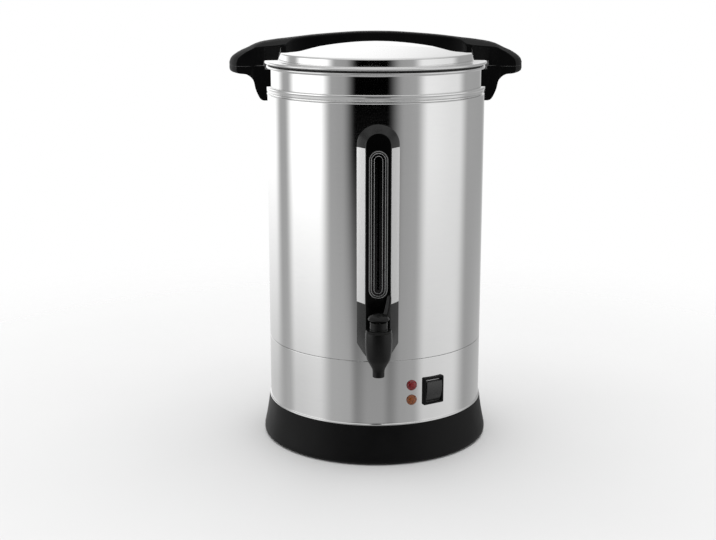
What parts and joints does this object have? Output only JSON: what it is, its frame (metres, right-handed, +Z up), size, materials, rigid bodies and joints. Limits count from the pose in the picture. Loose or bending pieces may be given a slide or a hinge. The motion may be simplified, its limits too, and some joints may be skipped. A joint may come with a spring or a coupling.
{
  "type": "coffee urn",
  "caption": "Free-standing percolator coffee urn: polished steel body on a flared black base, front tap and sight gauge, lift-off lid with a full-width bow handle.",
  "frame": {"origin": "where the body's own axis meets the surface that the urn stands on", "axes": "+Z up along the body's axis, -Y towards the front with the tap and the gauge, +X to the right seen from the front"},
  "size_m": [0.334, 0.3127, 0.4739],
  "materials": {
    "polished_steel": "polished stainless steel",
    "zinc_steel": "zinc plated",
    "satin_aluminium": "satin",
    "plastic_black": "fine satin moulding",
    "gloss_black": "gloss",
    "rubber_black": "matte",
    "silicone_cream": "matte silicone",
    "clear_plastic": "clear moulding",
    "clear_tube": "clear tube",
    "ceramic_cream": "glazed",
    "wire_red": "wire sleeve",
    "lamp_red": "translucent lens",
    "lamp_amber": "translucent lens"
  },
  "bodies": {
    "urn": {"foot_ring": "rubber_black", "base_ring": "plastic_black", "base_plate": "zinc_steel", "base_screws": "zinc_steel", "tie_rods": "zinc_steel", "tie_nuts": "zinc_steel", "lower_skirt": "polished_steel", "outer_shell": "polished_steel", "rim_ring": "polished_steel", "tank_wall": "polished_steel", "tank_floor": "polished_steel", "pump_heater": "zinc_steel", "heater_bar": "zinc_steel", "heater_nuts": "zinc_steel", "warm_heater_band": "zinc_steel", "boil_thermostat": "zinc_steel", "warm_thermostat": "zinc_steel", "thermostat_nuts": "zinc_steel", "thermal_fuse": "zinc_steel", "fuse_clip": "zinc_steel", "terminal_block": "ceramic_cream", "wiring": "wire_red", "cord_gland": "plastic_black", "gland_nut": "plastic_black", "gauge_housing": "plastic_black", "gauge_trim_left": "satin_aluminium", "gauge_trim_right": "satin_aluminium", "gauge_lens": "clear_plastic", "gauge_backing": "plastic_black", "gauge_tube": "clear_tube", "gauge_tee": "plastic_black", "gauge_seal_lower": "rubber_black", "gauge_seal_upper": "rubber_black", "gauge_screw": "zinc_steel", "tap_body": "plastic_black", "tap_bonnet": "plastic_black", "tap_front_washer": "rubber_black", "tap_spacer": "rubber_black", "tap_seal_inner": "silicone_cream", "tap_nut": "zinc_steel", "tap_spring": "zinc_steel", "side_handle_left": "plastic_black", "side_handle_right": "plastic_black", "handle_screws": "zinc_steel", "red_lamp": "lamp_red", "amber_lamp": "lamp_amber", "lamp_clips": "zinc_steel", "switch_housing": "plastic_black"},
    "valve": {"valve_stem": "zinc_steel", "valve_cup": "silicone_cream", "lever_pin": "zinc_steel"},
    "lever": {"tap_lever": "plastic_black"},
    "rocker": {"switch_rocker": "gloss_black"},
    "gasket": {"lid_gasket": "silicone_cream"},
    "lid": {"lid_shell": "polished_steel", "lid_handle": "plastic_black", "lid_screws": "zinc_steel"},
    "stem": {"pump_stem": "satin_aluminium"},
    "basket": {"coffee_basket": "satin_aluminium"},
    "cover": {"basket_cover": "satin_aluminium"}
  },
  "joints": [
    {"name": "lid_lift", "type": "slide", "parent": "urn", "child": "gasket", "axis": [0, 0, 1], "range_m": [0, 0.54]},
    {"name": "lid_turn", "type": "hinge", "parent": "gasket", "child": "lid", "pos_m": [0, 0, 0.4406], "axis": [0, 0, 1], "range_deg": [0, 30]},
    {"name": "stem_lift", "type": "slide", "parent": "urn", "child": "stem", "axis": [0, 0, 1], "range_m": [0, 0.36]},
    {"name": "basket_lift", "type": "slide", "parent": "urn", "child": "basket", "axis": [0, 0, 1], "range_m": [0, 0.46]},
    {"name": "cover_lift", "type": "slide", "parent": "urn", "child": "cover", "axis": [0, 0, 1], "range_m": [0, 0.5]},
    {"name": "valve_slide", "type": "slide", "parent": "urn", "child": "valve", "axis": [0, 0, 1], "range_m": [0, 0.0037], "stiffness_N_per_m": 30, "springref_m": -0.02, "deforming": ["tap_spring"]},
    {"name": "lever_tilt", "type": "hinge", "parent": "valve", "child": "lever", "pos_m": [0, -0.163, 0.1797], "axis": [0.5, -0.866, 0], "range_deg": [0, 30]},
    {"name": "switch_rock", "type": "hinge", "parent": "urn", "child": "rocker", "pos_m": [0.06036, -0.10371, 0.0813], "axis": [0.8643, 0.503, 0], "range_deg": [-16, 0]}
  ],
  "couplings": [
    {"joint": "stem_lift", "follows": "lid_lift", "ratio": 0.6666},
    {"joint": "basket_lift", "follows": "lid_lift", "ratio": 0.8518},
    {"joint": "cover_lift", "follows": "lid_lift", "ratio": 0.9259},
    {"joint": "lever_tilt", "follows": "valve_slide", "rad_per_m": 141.5}
  ]
}
